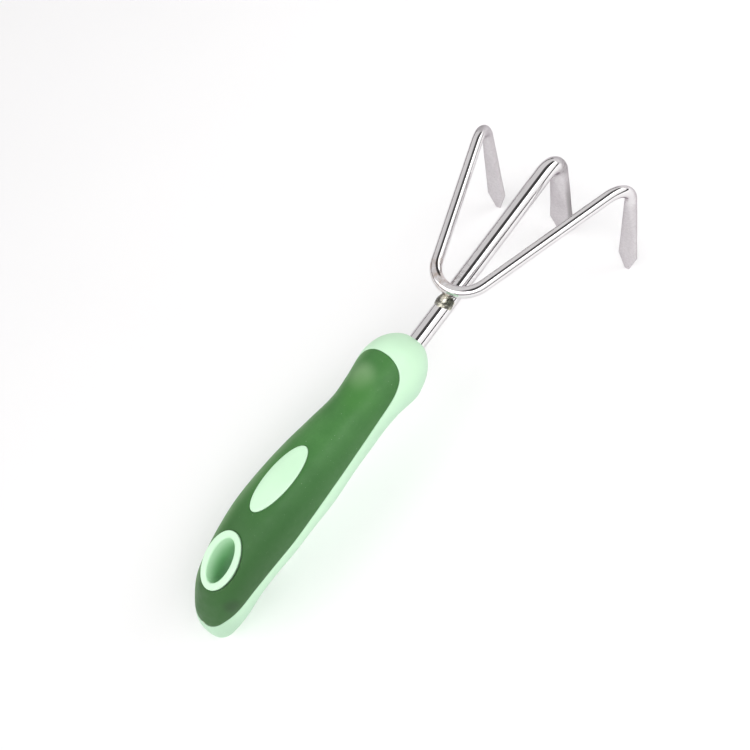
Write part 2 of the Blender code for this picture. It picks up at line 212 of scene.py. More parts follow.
# Mesh fineness, in millimetres or in steps.
SKIN_SPACING = 1.15
SKIN_ROW_RATIO = 0.866
SEAM_SPACING = 0.55
PARTING_STEPS = 40
END_SIDES = 72
TUBE_SIDES = 56
TUBE_STEP = 1.6
TANG_STEPS = 8
BEND_STEPS = 30
BLADE_STEPS = 26
POINT_STEPS = 12
U_STEPS = 96
OVAL_SIDES = 120
RIM_OUTER_STEPS = 5
RIM_INNER_STEPS = 7
MERGE_DISTANCE = 0.002
NET_TOLERANCE = 1e-6
CREASE_ANGLE = math.radians(40.0)


# ---------------------------------------------------------------- place in the room

def tool_placement():
    """Matrix from the tool's own axis, in metres, to the frame, read from the collar rim."""
    mount = frame["record"]["mounts"][0]
    normal = Vector(mount["axis"])
    pitch = math.atan2(-normal.x, normal.z) - COLLAR_RIM_SLOPE
    rim_point = Vector((HOLE_CENTRE, HOLE_HALF_WIDTH + 0.5 * COLLAR_WALL, COLLAR_RIM_HEIGHT))
    turn = Matrix.Rotation(-pitch, 4, "Y")
    offset = Vector(mount["pos_m"]) - turn @ (rim_point * MM)
    return Matrix.Translation(offset) @ turn


TOOL = tool_placement()


# ---------------------------------------------------------------- mesh helpers

def piece_from(name, bm):
    """Smooth mesh object in the frame, from a mesh in metres on the tool's axis."""
    mesh = bpy.data.meshes.new(name)
    bm.to_mesh(mesh)
    bm.free()
    mesh.shade_smooth()
    mesh.set_sharp_from_angle(angle=CREASE_ANGLE)
    mesh.transform(TOOL)
    piece = bpy.data.objects.new(name, mesh)
    bpy.context.scene.collection.objects.link(piece)
    return piece


def new_piece(name, points, faces):
    """Piece from points in millimetres on the tool's axis."""
    bm = bmesh.new()
    verts = [bm.verts.new(Vector(p) * MM) for p in points]
    for face in faces:
        if len(set(face)) == len(face):
            bm.faces.new([verts[i] for i in face])
    bmesh.ops.remove_doubles(bm, verts=bm.verts[:], dist=MERGE_DISTANCE * MM)
    bmesh.ops.recalc_face_normals(bm, faces=bm.faces[:])
    return piece_from(name, bm)


class Skin:
    """Points and faces of one mesh, gathered piece by piece."""

    def __init__(self):
        self.points = []
        self.faces = []

    def add_points(self, points):
        """Adds points, and returns their indices."""
        start = len(self.points)
        self.points.extend(Vector(p) for p in points)
        return list(range(start, len(self.points)))

    def add_strip(self, ring, after):
        """Quads between two closed rings of equal length."""
        count = len(ring)
        for k in range(count):
            self.faces.append((ring[k], ring[(k + 1) % count], after[(k + 1) % count], after[k]))

    def add_rings(self, rings):
        """Strips through closed rings of points, and the index of every ring."""
        rows = [self.add_points(ring) for ring in rings]
        for ring, after in zip(rows, rows[1:]):
            self.add_strip(ring, after)
        return rows


def catmull(p0, p1, p2, p3, t):
    """Catmull-Rom value between p1 and p2."""
    slope = 0.5 * (p2 - p0)
    next_slope = 0.5 * (p3 - p1)
    rise = 3.0 * (p2 - p1) - 2.0 * slope - next_slope
    curl = 2.0 * (p1 - p2) + slope + next_slope
    return p1 + slope * t + rise * t * t + curl * t * t * t


def along_stations(stations, t):
    """Row of values at parameter t, counted in stations."""
    last = len(stations) - 1
    i = min(max(int(t), 0), last - 1)
    rows = (
        stations[max(i - 1, 0)], stations[i], stations[i + 1], stations[min(i + 2, last)],
    )
    return [catmull(a, b, c, d, t - i) for a, b, c, d in zip(*rows)]


# ---------------------------------------------------------------- handle surface

def signed_power(value, power):
    """Power of the value's size, with the value's sign."""
    return math.copysign(abs(value) ** power, value)


def groove(x):
    """Finger groove depth at x."""
    wave = 0.5 + 0.5 * math.cos(2.0 * math.pi * (x - GROOVE_FIRST) / GROOVE_PITCH)
    front = min(max((GROOVE_FRONT_END - x) / GROOVE_FRONT_FADE, 0.0), 1.0)
    tail = min(max((x - GROOVE_TAIL_END) / GROOVE_TAIL_FADE, 0.0), 1.0)
    return GROOVE_DEPTH * wave * front * tail


def handle_point(t, angle, inset):
    """Point of the handle's outer form, drawn in by inset."""
    x, half_width, top, bottom = along_stations(STATIONS, t)
    wide = max(half_width - inset, LEAST_HALF_SIZE)
    tall = max(0.5 * (top - bottom) - inset, LEAST_HALF_SIZE)
    across = wide * signed_power(math.cos(angle), 2.0 / HANDLE_POWER)
    up = tall * signed_power(math.sin(angle), 2.0 / HANDLE_POWER)
    lift = groove(x) * max(-up / tall, 0.0)
    return Vector((x, across, 0.5 * (top + bottom) + up + lift))


class HandleMap:
    """Flat map of the handle's surface: u runs to the tail, v runs round the section."""

    ROUND_RADIUS = 13.5
    SEAM_ANGLE = -0.25 * math.pi
    SAMPLES = 900

    def __init__(self):
        last = len(STATIONS) - 1
        self.t = np.linspace(0.0, last, self.SAMPLES)
        top = [handle_point(t, 0.5 * math.pi, 0.0) for t in self.t]
        side = [handle_point(t, 0.0, 0.0) for t in self.t]
        self.x = np.array([p.x for p in top])
        steps = [
            0.5 * ((top[k + 1] - top[k]).length + (side[k + 1] - side[k]).length)
            for k in range(self.SAMPLES - 1)
        ]
        self.u = np.concatenate(([0.0], np.cumsum(steps)))
        self.length = self.u[-1]
        self.low = self.SEAM_ANGLE * self.ROUND_RADIUS
        self.high = self.low + 2.0 * math.pi * self.ROUND_RADIUS

    def point(self, place, inset):
        """Point of the handle at a map place, drawn in by inset."""
        t = float(np.interp(place[0], self.u, self.t))
        return handle_point(t, place[1] / self.ROUND_RADIUS, inset)

    def place_at_x(self, x):
        """u and row of the section at x."""
        t = float(np.interp(-x, -self.x, self.t))
        return float(np.interp(t, self.t, self.u)), along_stations(STATIONS, t)

    def place_from_side(self, x, z):
        """Map place on the left side at x and height z, or None above the section."""
        u, (_, _, top, bottom) = self.place_at_x(x)
        ratio = (z - 0.5 * (top + bottom)) / (0.5 * (top - bottom))
        if not 0.0 <= ratio < 1.0:
            return None
        return u, math.asin(ratio ** (HANDLE_POWER / 2.0)) * self.ROUND_RADIUS

    def place_from_top(self, x, y, under=False):
        """Map place on the thumb side, or under the handle, at x and y."""
        u, (_, half_width, _, _) = self.place_at_x(x)
        angle = math.acos(signed_power(y / half_width, HANDLE_POWER / 2.0))
        if under:
            angle = 2.0 * math.pi - angle
        return u, angle * self.ROUND_RADIUS


handle_map = HandleMap()


def resample(loop, spacing):
    """Closed loop of even steps along the given closed loop."""
    points = np.array(list(loop) + [loop[0]])
    lengths = np.hypot(*np.diff(points, axis=0).T)
    total = np.concatenate(([0.0], np.cumsum(lengths)))
    count = int(round(total[-1] / spacing))
    marks = np.linspace(0.0, total[-1], count, endpoint=False)
    return list(zip(np.interp(marks, total, points[:, 0]), np.interp(marks, total, points[:, 1])))


def offset_loop(loop, distance):
    """Loop moved outwards by distance on the map."""
    points = np.array(loop)
    ahead = np.roll(points, -1, axis=0) - np.roll(points, 1, axis=0)
    ahead /= np.hypot(ahead[:, 0], ahead[:, 1])[:, None]
    normals = np.stack((ahead[:, 1], -ahead[:, 0]), axis=1)
    after = np.roll(points, -1, axis=0)
    if np.sum(points[:, 0] * after[:, 1] - points[:, 1] * after[:, 0]) < 0.0:
        normals = -normals
    return [tuple(p) for p in points + normals * distance]


def parting_loop():
    """Closed parting line between grip and core, on the map."""
    left = []
    for k in range(PARTING_STEPS * (len(PARTING) - 1) + 1):
        x, z = along_stations(PARTING, k / PARTING_STEPS)
        if x < STATIONS[-1][0]:
            break
        place = handle_map.place_from_side(x, z)
        if place:
            left.append(place)
    mirror = math.pi * handle_map.ROUND_RADIUS
    right = [(u, mirror - v) for u, v in reversed(left)]
    return resample(left + right, SEAM_SPACING)


def oval(centre, half_length, half_width):
    """Oval in plan, long side along X."""
    angles = [2.0 * math.pi * k / OVAL_SIDES for k in range(OVAL_SIDES)]
    return [(centre + half_length * math.cos(a), half_width * math.sin(a)) for a in angles]


def hole_oval(growth):
    """The hang hole's oval in plan, grown outwards."""
    return oval(HOLE_CENTRE, HOLE_HALF_LENGTH + growth, HOLE_HALF_WIDTH + growth)


def inside(points, loop):
    """Which of the map points lie inside the closed loop."""
    points = np.asarray(points)
    loop = np.asarray(loop)
    result = np.zeros(len(points), dtype=bool)
    for (u0, v0), (u1, v1) in zip(loop, np.roll(loop, -1, axis=0)):
        crosses = (v0 > points[:, 1]) != (v1 > points[:, 1])
        if v0 != v1:
            at = u0 + (points[:, 1] - v0) / (v1 - v0) * (u1 - u0)
            result ^= crosses & (points[:, 0] < at)
    return result


class HandleNet:
    """Triangles of the whole handle on its map, with every seam as an edge loop."""

    def __init__(self):
        self.places = []
        self.edges = []
        self.drops = {}
        parting = parting_loop()
        window = oval(WINDOW_CENTRE, WINDOW_HALF_LENGTH, WINDOW_HALF_WIDTH)
        window = resample([handle_map.place_from_top(*p) for p in window], SEAM_SPACING)
        collar = [handle_map.place_from_top(*p) for p in hole_oval(COLLAR_WALL)]
        way_out = [handle_map.place_from_top(*p, under=True) for p in hole_oval(RIM_INNER_ROUND)]
        self.core_edge = self.add_seam(parting, SEAM_GAP, 1.0)
        self.grip_edge = self.add_seam(parting, 0.0, -1.0)
        self.window_edge = self.add_seam(window, 0.0, -1.0)
        self.grip_window = self.add_seam(window, SEAM_GAP, 1.0)
        self.collar_edge = self.add_loop(collar, 0.0)
        self.grip_collar = self.add_seam(collar, SEAM_GAP, 1.0)
        self.exit_edge = self.add_loop(way_out, 0.0)
        self.front_edge = self.add_end(0.0)
        self.tail_edge = self.add_end(handle_map.length)
        self.add_field()
        self.triangulate()

    def add_loop(self, loop, drop):
        """Closed loop of edges on the map, whose points lie lower by drop."""
        start = len(self.places)
        self.places.extend(loop)
        count = len(loop)
        indices = list(range(start, start + count))
        self.edges.extend((start + k, start + (k + 1) % count) for k in range(count))
        for i in indices:
            self.drops[i] = drop
        return indices

    def add_seam(self, loop, gap, side):
        """Edge loop at the gap, and the loops that round it off on one side."""
        edge = None
        for step in EDGE_STEPS:
            reach = EDGE_ROUND - step
            drop = EDGE_ROUND - math.sqrt(EDGE_ROUND ** 2 - reach ** 2)
            indices = self.add_loop(offset_loop(loop, gap + side * step), drop)
            if edge is None:
                edge = indices
        return edge

    def add_end(self, u):
        """Row of places across the map at one end of the handle."""
        start = len(self.places)
        for k in range(END_SIDES + 1):
            share = k / END_SIDES
            self.places.append((u, handle_map.low + share * (handle_map.high - handle_map.low)))
        self.edges.extend((start + k, start + k + 1) for k in range(END_SIDES))
        return list(range(start, start + END_SIDES + 1))

    def add_field(self):
        """Staggered places all over the map, clear of the seams."""
        tree = kdtree.KDTree(len(self.places))
        for i, (u, v) in enumerate(self.places):
            tree.insert((u, v, 0.0), i)
        tree.balance()
        rows = int(handle_map.length / (SKIN_SPACING * SKIN_ROW_RATIO))
        columns = int((handle_map.high - handle_map.low) / SKIN_SPACING)
        pitch = (handle_map.high - handle_map.low) / columns
        for i in range(1, rows):
            u = handle_map.length * i / rows
            for k in range(columns + 1):
                v = handle_map.low + pitch * k
                if i % 2 and 0 < k < columns:
                    v -= 0.5 * pitch
                if tree.find((u, v, 0.0))[2] > 0.5 * SKIN_SPACING:
                    self.places.append((u, v))

    def triangulate(self):
        """Triangles over all places, and which of them lie inside each seam."""
        places = [Vector(p) for p in self.places]
        result = delaunay_2d_cdt(places, self.edges, [], 0, NET_TOLERANCE)
        self.triangles = [tuple(face) for face in result[2]]
        self.new_index = {}
        drops = {}
        for new, olds in enumerate(result[3]):
            for old in olds:
                self.new_index[old] = new
                drops[new] = max(drops.get(new, 0.0), self.drops.get(old, 0.0))
        self.places = [tuple(v) for v in result[0]]
        self.drops = drops
        corners = np.array(self.places)[np.array(self.triangles)]
        middles = corners.mean(axis=1)
        self.in_core_edge = inside(middles, self.loop(self.core_edge))
        self.in_grip_edge = inside(middles, self.loop(self.grip_edge))
        self.in_window = inside(middles, self.loop(self.window_edge))
        self.in_grip_window = inside(middles, self.loop(self.grip_window))
        self.in_collar = inside(middles, self.loop(self.collar_edge))
        self.in_grip_collar = inside(middles, self.loop(self.grip_collar))
        self.in_exit = inside(middles, self.loop(self.exit_edge))

    def loop(self, indices):
        """Map places of an edge loop after triangulation."""
        return [self.places[self.new_index[i]] for i in indices]

    def surface(self, skin, chosen, inset, dropped):
        """Adds the chosen triangles at the given inset, and returns their point indices."""
        used = {}
        for triangle, keep in zip(self.triangles, chosen):
            if not keep:
                continue
            face = []
            for i in triangle:
                if i not in used:
                    depth = inset + (self.drops.get(i, 0.0) if dropped else 0.0)
                    used[i] = skin.add_points([handle_map.point(self.places[i], depth)])[0]
                face.append(used[i])
            skin.faces.append(tuple(face))
        return used

    def edge(self, used, indices):
        """Point indices of an edge loop within a surface that was added."""
        return [used[self.new_index[i]] for i in indices]


# ---------------------------------------------------------------- handle pieces

def tang_rows(growth):
    """Rows along the tang from its pressed end to where it is round."""
    flat_end = -TANG_LENGTH + TANG_FLAT_LENGTH
    rows = []
    for k in range(TANG_STEPS + 1):
        share = k / TANG_STEPS
        flat = 1.0 - share * share * (3.0 - 2.0 * share)
        rows.append(tang_row(flat_end - TANG_EASE_LENGTH * (1.0 - share), flat, growth))
    return [tang_row(-TANG_LENGTH, 1.0, growth)] + rows


def tang_row(x, flat, growth):
    """Row of the tang at x, from round at flat 0 to pressed at flat 1."""
    width = SHANK_RADIUS + (TANG_FLAT_HALF_WIDTH - SHANK_RADIUS) * flat + growth
    thick = SHANK_RADIUS + (TANG_FLAT_HALF_THICKNESS - SHANK_RADIUS) * flat + growth
    power = ROUND + (TANG_POWER - ROUND) * flat
    return Vector((x, 0.0, 0.0)), ALONG, LEFT, width, thick, power


def section_ring(row, sides, first_angle=0.0):
    """Ring of a superellipse about one row of point, heading, across, half sizes and power."""
    point, heading, across, half_width, half_thickness, power = row
    wide = (across - heading * across.dot(heading)).normalized()
    thin = heading.cross(wide)
    ring = []
    for k in range(sides):
        angle = first_angle + 2.0 * math.pi * k / sides
        u = half_width * signed_power(math.cos(angle), 2.0 / power)
        v = half_thickness * signed_power(math.sin(angle), 2.0 / power)
        ring.append(point + wide * u + thin * v)
    return ring


def rim_height(x):
    """Height of the collar's sloping rim at x."""
    return COLLAR_RIM_HEIGHT + (x - HOLE_CENTRE) * math.tan(COLLAR_RIM_SLOPE)


def collar_rings():
    """Rings up the collar's outside, over its rim and down the hang hole."""
    rings = []
    for k in range(RIM_OUTER_STEPS + 1):
        turn = 0.5 * math.pi * k / RIM_OUTER_STEPS
        growth = COLLAR_WALL - RIM_OUTER_ROUND * (1.0 - math.cos(turn))
        drop = RIM_OUTER_ROUND * (1.0 - math.sin(turn))
        rings.append([(x, y, rim_height(x) - drop) for x, y in hole_oval(growth)])
    for k in range(RIM_INNER_STEPS + 1):
        turn = 0.5 * math.pi * k / RIM_INNER_STEPS
        growth = RIM_INNER_ROUND * (1.0 - math.sin(turn))
        drop = RIM_INNER_ROUND * (1.0 - math.cos(turn))
        rings.append([(x, y, rim_height(x) - drop) for x, y in hole_oval(growth)])
    under = []
    for growth, inset in HOLE_EXIT:
        ring = []
        for x, y in hole_oval(growth):
            ring.append(handle_map.point(handle_map.place_from_top(x, y, under=True), inset))
        under.append(ring)
    top = rings[-1]
    for share in HOLE_SHARES:
        ring = []
        for (x, y, z), low in zip(top, under[0]):
            ring.append((x, y, z + (low.z - z) * share))
        rings.append(ring)
    return rings + under


def make_handle_core(net):
    """Hard moulding: bulb, underside, window boss, collar and hang hole, tang socket."""
    skin = Skin()
    outside = ~net.in_core_edge & ~net.in_exit
    outer = net.surface(skin, outside, 0.0, True)
    boss = net.surface(skin, net.in_window, 0.0, True)
    floor = net.in_core_edge & ~net.in_window & ~net.in_collar
    recess = net.surface(skin, floor, RECESS_DEPTH, False)
    skin.add_strip(net.edge(outer, net.core_edge), net.edge(recess, net.core_edge))
    skin.add_strip(net.edge(boss, net.window_edge), net.edge(recess, net.window_edge))
    tube = skin.add_rings(collar_rings())
    skin.add_strip(net.edge(recess, net.collar_edge), tube[0])
    skin.add_strip(tube[-1], net.edge(outer, net.exit_edge))

    first = handle_map.SEAM_ANGLE
    face = net.edge(outer, net.front_edge)[:-1]
    rows = [
        (Vector((x, 0.0, z)), ALONG, LEFT, wide, tall, ROUND) for x, z, wide, tall in FACE_RINGS
    ]
    rows += reversed(tang_rows(SOCKET_GAP))
    socket = skin.add_rings([section_ring(row, END_SIDES, first) for row in rows])
    skin.add_strip(face, socket[0])
    skin.faces.append(tuple(socket[-1]))

    tail = net.edge(outer, net.tail_edge)[:-1]
    last = STATIONS[-1]
    middle = 0.5 * (last[2] + last[3])
    caps = [
        (Vector((last[0] - behind, 0.0, middle)), ALONG, LEFT, radius, radius, ROUND)
        for behind, radius in TAIL_RINGS
    ]
    cap = skin.add_rings([section_ring(row, END_SIDES, first) for row in caps])
    skin.add_strip(tail, cap[0])
    skin.faces.append(tuple(cap[-1]))
    return new_piece("core_moulding", skin.points, skin.faces)


def make_soft_grip(net):
    """Soft shell with rounded edges round its border, its window and the collar."""
    skin = Skin()
    chosen = net.in_grip_edge & ~net.in_grip_window & ~net.in_grip_collar
    outer = net.surface(skin, chosen, 0.0, True)
    inner = net.surface(skin, chosen, GRIP_THICKNESS, False)
    for loop in (net.grip_edge, net.grip_window, net.grip_collar):
        skin.add_strip(net.edge(outer, loop), net.edge(inner, loop))
    return new_piece("grip_shell", skin.points, skin.faces)


# ---------------------------------------------------------------- steel pieces

BLADE_DOWN = Vector((-math.sin(BLADE_LEAN), 0.0, -math.cos(BLADE_LEAN)))


def bend_points(start, heading, side, radius, angle):
    """Points and headings round a bend that turns from heading towards side."""
    rows = []
    for k in range(1, BEND_STEPS + 1):
        turn = angle * k / BEND_STEPS
        point = start + heading * radius * math.sin(turn) + side * radius * (1.0 - math.cos(turn))
        rows.append((point, heading * math.cos(turn) + side * math.sin(turn)))
    return rows


def blade_rows(start, down, across, radius, half_width, half_thickness):
    """Rows down a flattened blade with a blunt point, whose width lies along across."""
    reach = (start.z - BLADE_TIP_LEVEL) / -down.z
    neck = reach - BLADE_POINT_LENGTH
    rows = []
    for k in range(1, BLADE_STEPS + 1):
        t = k / BLADE_STEPS
        flat = min(t * t * (3.0 - 2.0 * t) * BLADE_FLATTENING, 1.0)
        width = radius + (half_width - radius) * t
        thick = radius + (half_thickness - radius) * flat
        power = ROUND + (BLADE_POWER - ROUND) * flat
        rows.append((start + down * neck * t, down, across, width, thick, power))
    for k in range(1, POINT_STEPS + 1):
        t = k / POINT_STEPS
        width = half_width + (BLADE_TIP_HALF_WIDTH - half_width) * t
        thick = half_thickness * (1.0 - BLADE_TIP_THINNING * t)
        step = neck + BLADE_POINT_LENGTH * t
        rows.append((start + down * step, down, across, width, thick, BLADE_POWER))
    return rows


def straight(start, end, heading, across, radius):
    """Round rows from start, which is left out, to end."""
    steps = max(int((end - start).length / TUBE_STEP), 1)
    return [
        (start.lerp(end, k / steps), heading, across, radius, radius, ROUND)
        for k in range(1, steps + 1)
    ]


def tube_piece(name, rings):
    """Closed piece through rings."""
    skin = Skin()
    rows = skin.add_rings(rings)
    skin.faces.append(tuple(rows[0]))
    skin.faces.append(tuple(rows[-1]))
    return new_piece(name, skin.points, skin.faces)


def make_shank():
    """Shank tube with its tang, the middle prong's bend and its blade."""
    rows = tang_rows(0.0)
    start = Vector((MIDDLE_BEND_START, 0.0, 0.0))
    rows += straight(rows[-1][0], start, ALONG, LEFT, SHANK_RADIUS)
    turn = math.acos(ALONG.dot(BLADE_DOWN))
    bend = bend_points(start, ALONG, -UP, MIDDLE_BEND_RADIUS, turn)
    for point, heading in bend:
        rows.append((point, heading, LEFT, SHANK_RADIUS, SHANK_RADIUS, ROUND))
    rows += blade_rows(
        bend[-1][0], BLADE_DOWN, LEFT,
        SHANK_RADIUS, MIDDLE_BLADE_HALF_WIDTH, MIDDLE_BLADE_HALF_THICKNESS,
    )
    return tube_piece("shank_and_middle_prong", [section_ring(row, TUBE_SIDES) for row in rows])


def side_prong_rings(leg_length, blade_turn):
    """Rings of one side prong, as the left one, from the U's back to the blade tip."""
    centre = Vector((U_BACK + U_RADIUS, 0.0, ROD_CENTRE_HEIGHT))
    rows = []
    sweep = math.pi / 2.0 - LEG_SPLAY
    half_steps = U_STEPS // 2
    for k in range(half_steps + 1):
        angle = sweep * k / half_steps
        out = Vector((-math.cos(angle), math.sin(angle), 0.0))
        heading = Vector((math.sin(angle), math.cos(angle), 0.0))
        point = centre + out * U_RADIUS
        rows.append((point, heading, UP.cross(heading), ROD_RADIUS, ROD_RADIUS, ROUND))
    leg = Vector((math.cos(LEG_SPLAY), math.sin(LEG_SPLAY), 0.0))
    start = rows[-1][0] + leg * leg_length
    rows += straight(rows[-1][0], start, leg, UP.cross(leg), ROD_RADIUS)
    turn = math.acos(leg.dot(BLADE_DOWN))
    side = (BLADE_DOWN - leg * leg.dot(BLADE_DOWN)).normalized()
    blade_across = Vector((-math.sin(blade_turn), math.cos(blade_turn), 0.0))
    bend = bend_points(start, leg, side, SIDE_BEND_RADIUS, turn)
    for k, (point, heading) in enumerate(bend):
        across = UP.cross(leg).lerp(blade_across, (k + 1) / BEND_STEPS)
        rows.append((point, heading, across, ROD_RADIUS, ROD_RADIUS, ROUND))
    rows += blade_rows(
        bend[-1][0], BLADE_DOWN, blade_across,
        ROD_RADIUS, SIDE_BLADE_HALF_WIDTH, SIDE_BLADE_HALF_THICKNESS,
    )
    return [section_ring(row, TUBE_SIDES) for row in rows]


def make_side_prongs():
    """The U-bent rod with both side prongs and their blades."""
    left = side_prong_rings(LEFT_LEG_LENGTH, LEFT_BLADE_TURN)
    right = []
    for ring in side_prong_rings(RIGHT_LEG_LENGTH, RIGHT_BLADE_TURN):
        right.append([Vector((p.x, -p.y, p.z)) for p in ring])
    return tube_piece("side_prongs", right[:0:-1] + left)


def make_weld():
    """Lumpy weld metal in the corner behind the U."""
    bm = bmesh.new()
    bmesh.ops.create_icosphere(bm, subdivisions=BEAD_SUBDIVISIONS, radius=1.0)
    centre = Vector((BEAD_CENTRE[0], 0.0, BEAD_CENTRE[1]))
    for vert in bm.verts:
        out = vert.co.normalized()
        size = BEAD_FILL
        for height, per_radius, shift in BEAD_LUMPS:
            size += height * noise.noise(out * per_radius + shift)
        vert.co = (centre + out * Vector(BEAD_HALF_SIZES) * size) * MM
    return piece_from("weld_metal_bead", bm)


# ---------------------------------------------------------------- looks

# Colours, as linear red, green and blue.
MINT_DEEP = (0.60, 0.88, 0.62)
MINT_PALE = (0.64, 0.92, 0.66)
MINT_SPECK = (0.42, 0.62, 0.42)
# painted shade down inside the hang hole
MINT_PAINTED_HOLE_SHADE = (0.20, 0.58, 0.22)
# painted shade on the underside of the mint moulding
MINT_UNDERSIDE_SHADE = (0.48, 0.72, 0.53)
# painted shade at the tail of the mint moulding
MINT_TAIL_SHADE = (0.44, 0.66, 0.47)
GREEN_DEEP = (0.046, 0.172, 0.038)
GREEN_MIDDLE = (0.062, 0.208, 0.050)
GREEN_PALE = (0.078, 0.245, 0.062)
GREEN_MOTTLE = (0.032, 0.13, 0.03)
GREEN_DIRT = (0.02, 0.06, 0.02)
GREEN_DUST = (0.35, 0.5, 0.32)
# painted shade towards the tail of the grip
GREEN_TAIL_SHADE = (0.026, 0.099, 0.020)
# painted shade on the right side of the grip
GREEN_RIGHT_SHADE = (0.030, 0.100, 0.026)
# painted sheen on the left side of the grip
GREEN_LEFT_PAINTED_SHEEN = (0.12, 0.29, 0.095)
# painted highlight near the front of the grip
GREEN_PAINTED_HIGHLIGHT = (0.20, 0.36, 0.165)
# painted shade of the thumb dish
GREEN_DISH_SHADE = (0.055, 0.215, 0.035)
GREEN_SMUDGE = (0.022, 0.06, 0.02)
GATE_MARK = (0.70, 0.66, 0.44)
STEEL_DEEP = (0.75, 0.735, 0.74)
STEEL_PALE = (0.83, 0.815, 0.82)
STEEL_EDGE = (0.52, 0.48, 0.51)
SATIN_DEEP = (0.60, 0.575, 0.59)
SATIN_PALE = (0.72, 0.695, 0.71)
# painted shade along the right edge of the middle blade
SATIN_EDGE_SHADE = (0.28, 0.265, 0.27)
SATIN_SPECK = (0.16, 0.15, 0.15)
# darker mottled patch at the front right below the middle bend
BEND_DARK_PATCH = (0.26, 0.25, 0.25)
STEEL_SCUFF = (0.30, 0.285, 0.28)
HEAT_TINT = (0.42, 0.29, 0.20)
WELD_HOLLOW = (0.13, 0.13, 0.11)
WELD_MIDDLE = (0.42, 0.41, 0.34)
WELD_PALE = (0.88, 0.86, 0.74)
# painted highlight on the weld bead
WELD_PAINTED_HIGHLIGHT = (0.95, 0.93, 0.80)
# painted shade on the right of the weld bead
WELD_PAINTED_SHADE = (0.06, 0.065, 0.05)
# painted shade on the left flank of the weld bead
WELD_FLANK_SHADE = (0.12, 0.115, 0.105)
FLOOR_DEEP = (0.96, 0.96, 0.96)
FLOOR_PALE = (0.98, 0.98, 0.98)

# Painted shade and light that fade in along the tool: axis, where it starts and ends, weight,
# colour.
CORE_PAINTED_SHADE = [
    # painted shade: the mint darkens towards the underside
    ("Z", 14.0, -4.0, 0.8, MINT_UNDERSIDE_SHADE),
    # painted shade: the mint darkens towards the tail
    ("X", -130.0, -142.0, 0.7, MINT_TAIL_SHADE),
]
GRIP_PAINTED_LIGHT_AND_SHADE = [
    # painted shade towards the tail
    ("X", -60.0, -128.0, 0.8, GREEN_TAIL_SHADE),
    # painted shade on the right side
    ("Y", -5.0, -13.0, 0.35, GREEN_RIGHT_SHADE),
    # painted sheen on the left side
    ("Y", 4.0, 11.0, 0.85, GREEN_LEFT_PAINTED_SHEEN),
]

# Soft round patches: place on the tool, inner and outer radius, weight, colour.
GRIP_PATCHES = [
    # painted highlight on the front slope of the thumb dish
    ((-30.5, 2.2, 17.5), 1.5, 8.5, 0.8, GREEN_PAINTED_HIGHLIGHT),
    # painted shade in the thumb dish
    ((-37.0, -1.0, 17.5), 3.0, 12.0, 0.5, GREEN_DISH_SHADE),
    ((-131.0, -9.3, 10.5), 1.0, 5.0, 0.6, GREEN_SMUDGE),
    ((-144.6, -0.4, 1.6), 0.6, 1.5, 0.85, GATE_MARK),
]
WELD_PAINTED_LIGHT_AND_SHADE = [
    # painted highlight on the bead
    ((18.4, -0.3, 5.2), 1.2, 2.4, 0.95, WELD_PAINTED_HIGHLIGHT),
    # painted shade on the bead's right
    ((18.6, -3.1, 3.6), 1.5, 2.6, 0.95, WELD_PAINTED_SHADE),
    # painted shade on the bead's left flank
    ((16.8, 2.9, 3.7), 1.3, 2.8, 0.85, WELD_FLANK_SHADE),
]

# Painted shade inside the hang hole: its reach past the oval, and the depth and x of the painted
# shade.
HOLE_REACH = 0.7
HOLE_SHADE_DEPTH = (1.2, 12.5)
HOLE_SHADE_X = (-114.0, -123.0)
HOLE_SHADE_LEAST = 0.66
HOLE_SHADE_MOST = 0.95

# Where the polish of the prongs ends, how ragged that edge is, the painted shade along the middle
# blade's right edge, and their other marks.
SHANK_SATIN_START = MIDDLE_BEND_START + 8.5
ROD_SATIN_START = 96.5
SATIN_LENGTH = 2.5
SATIN_RAGGED = 3.0
SATIN_SKEW = 0.1
SATIN_LEVEL = (-3.0, -9.0)
# band of painted shade on the middle blade's right edge, and how far from the middle it reaches
SHADED_EDGE = (-3.6, -5.4)
SHADED_REACH = (9.0, 12.0)
BEND_DARK_PATCH_PLACE = (104.0, -3.5, -5.0)
SCUFF_CENTRE = 32.0
HEAT_CENTRE = (U_BACK + 2.0, 8.0, ROD_CENTRE_HEIGHT)

# Values between which most of a noise lies.
NOISE_LOW = 0.3
NOISE_HIGH = 0.7


